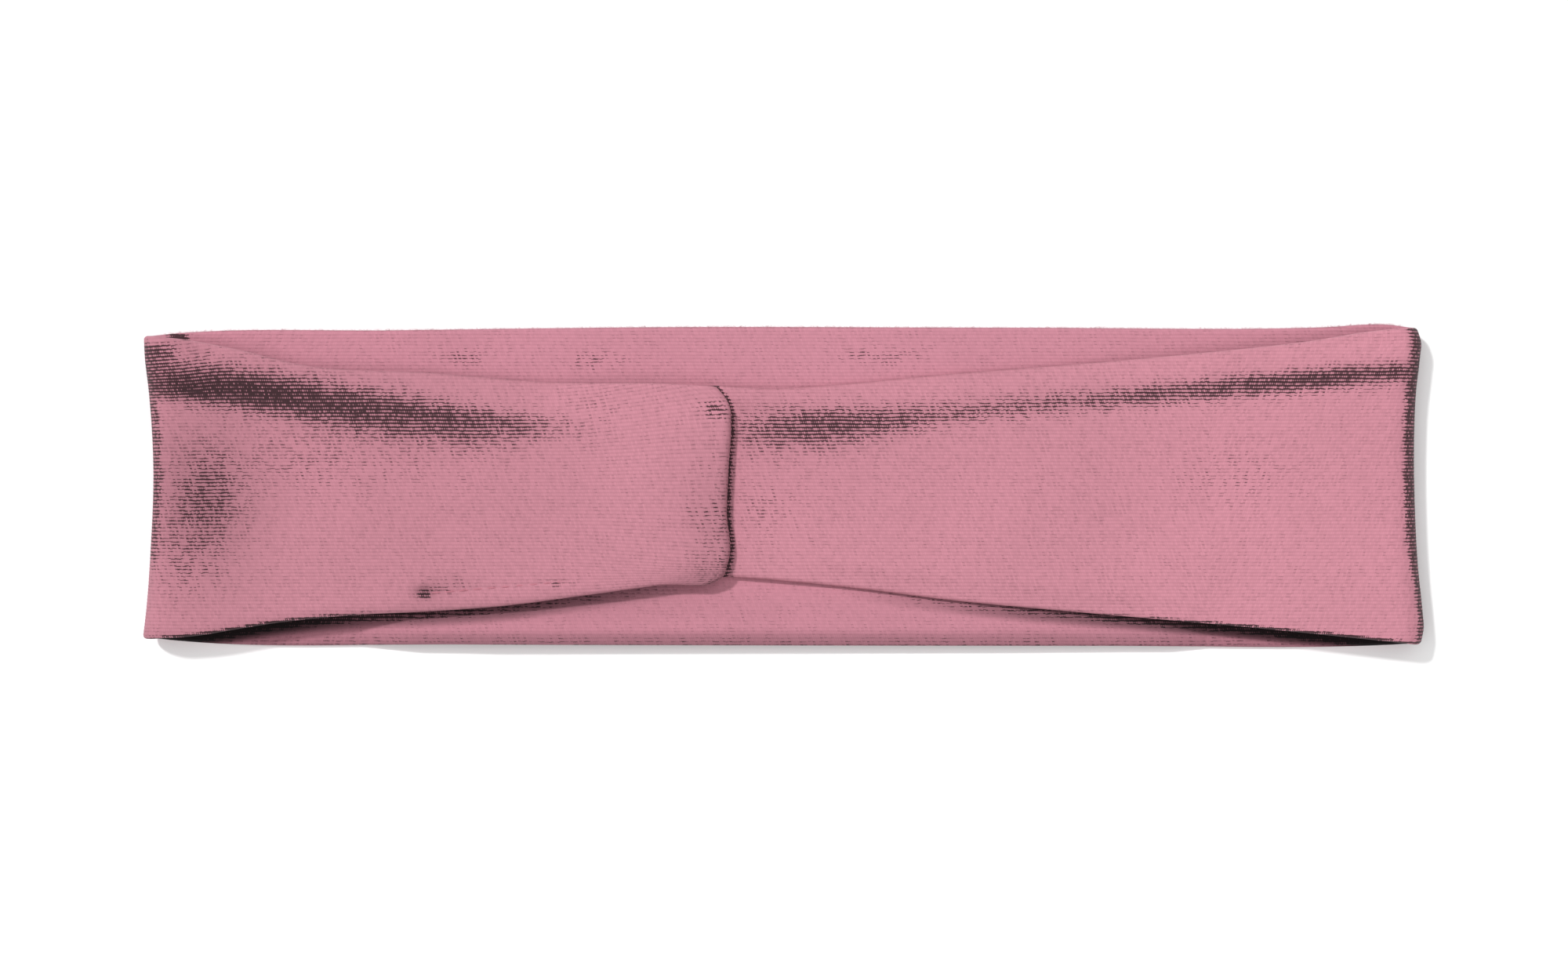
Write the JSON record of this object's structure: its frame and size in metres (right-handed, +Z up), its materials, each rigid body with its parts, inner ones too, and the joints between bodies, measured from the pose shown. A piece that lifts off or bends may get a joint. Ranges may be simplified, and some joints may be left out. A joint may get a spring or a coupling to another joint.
{
  "type": "sports headband",
  "caption": "Wide soft knit sports headband: a two-layer fabric loop that narrows to a folded tuck at the front, stored flat and opening into a ring for the head.",
  "frame": {"origin": "middle of the flat loop's underside, on the surface it lies on", "axes": "+X along the flat loop from the left side fold to the right one, +Y across its width towards the upper edge, +Z up out of the front"},
  "size_m": [0.2408, 0.0608, 0.0092],
  "materials": {
    "outer_knit": "matt fine interlock knit, dusty pink with plum shading between the rows",
    "lining_knit": "brushed soft knit, dusty pink",
    "sewing_thread": "fine matt polyester thread, dusty pink"
  },
  "bodies": {
    "back_mid": {"lining_back_mid": "lining_knit", "lower_seam_back_mid": "sewing_thread", "outer_back_mid": "outer_knit", "upper_seam_back_mid": "sewing_thread"},
    "back_left": {"lining_back_left": "lining_knit", "lower_seam_back_left": "sewing_thread", "outer_back_left": "outer_knit", "upper_seam_back_left": "sewing_thread"},
    "back_right": {"lining_back_right": "lining_knit", "lower_seam_back_right": "sewing_thread", "outer_back_right": "outer_knit", "upper_seam_back_right": "sewing_thread"},
    "front_left": {"lining_front_left": "lining_knit", "lower_seam_front_left": "sewing_thread", "outer_front_left": "outer_knit", "turning_gap_stitches": "sewing_thread", "upper_seam_front_left": "sewing_thread"},
    "front_right": {"lining_front_right": "lining_knit", "lower_seam_front_right": "sewing_thread", "outer_front_right": "outer_knit", "upper_seam_front_right": "sewing_thread"},
    "front_mid_left": {"joining_seam_thread": "sewing_thread", "lining_front_mid_left": "lining_knit", "lower_seam_front_mid_left": "sewing_thread", "outer_front_mid_left": "outer_knit", "upper_seam_front_mid_left": "sewing_thread"},
    "front_mid_right": {"lining_front_mid_right": "lining_knit", "lower_seam_front_mid_right": "sewing_thread", "outer_front_mid_right": "outer_knit", "upper_seam_front_mid_right": "sewing_thread"}
  },
  "joints": [
    {"name": "back_left_bend", "type": "hinge", "parent": "back_mid", "child": "back_left", "pos_m": [-0.04, 0, 0.0036], "axis": [0, 1, 0], "range_deg": [0, 60]},
    {"name": "left_side_fold", "type": "hinge", "parent": "back_left", "child": "front_left", "pos_m": [-0.1204, 0, 0.0046], "axis": [0, -1, 0], "range_deg": [0, 120]},
    {"name": "front_left_bend", "type": "hinge", "parent": "front_left", "child": "front_mid_left", "pos_m": [-0.04, 0, 0.0056], "axis": [0, 1, 0], "range_deg": [0, 60]},
    {"name": "back_right_bend", "type": "hinge", "parent": "back_mid", "child": "back_right", "pos_m": [0.04, 0, 0.0036], "axis": [0, -1, 0], "range_deg": [0, 60]},
    {"name": "right_side_fold", "type": "hinge", "parent": "back_right", "child": "front_right", "pos_m": [0.1204, 0, 0.0046], "axis": [0, 1, 0], "range_deg": [0, 120]},
    {"name": "front_right_bend", "type": "hinge", "parent": "front_right", "child": "front_mid_right", "pos_m": [0.04, 0, 0.0056], "axis": [0, -1, 0], "range_deg": [0, 60]}
  ],
  "couplings": [
    {"joint": "back_left_bend", "follows": "left_side_fold", "ratio": 0.5},
    {"joint": "front_left_bend", "follows": "left_side_fold", "ratio": 0.5},
    {"joint": "back_right_bend", "follows": "left_side_fold", "ratio": 0.5},
    {"joint": "right_side_fold", "follows": "left_side_fold", "ratio": 1},
    {"joint": "front_right_bend", "follows": "left_side_fold", "ratio": 0.5}
  ]
}
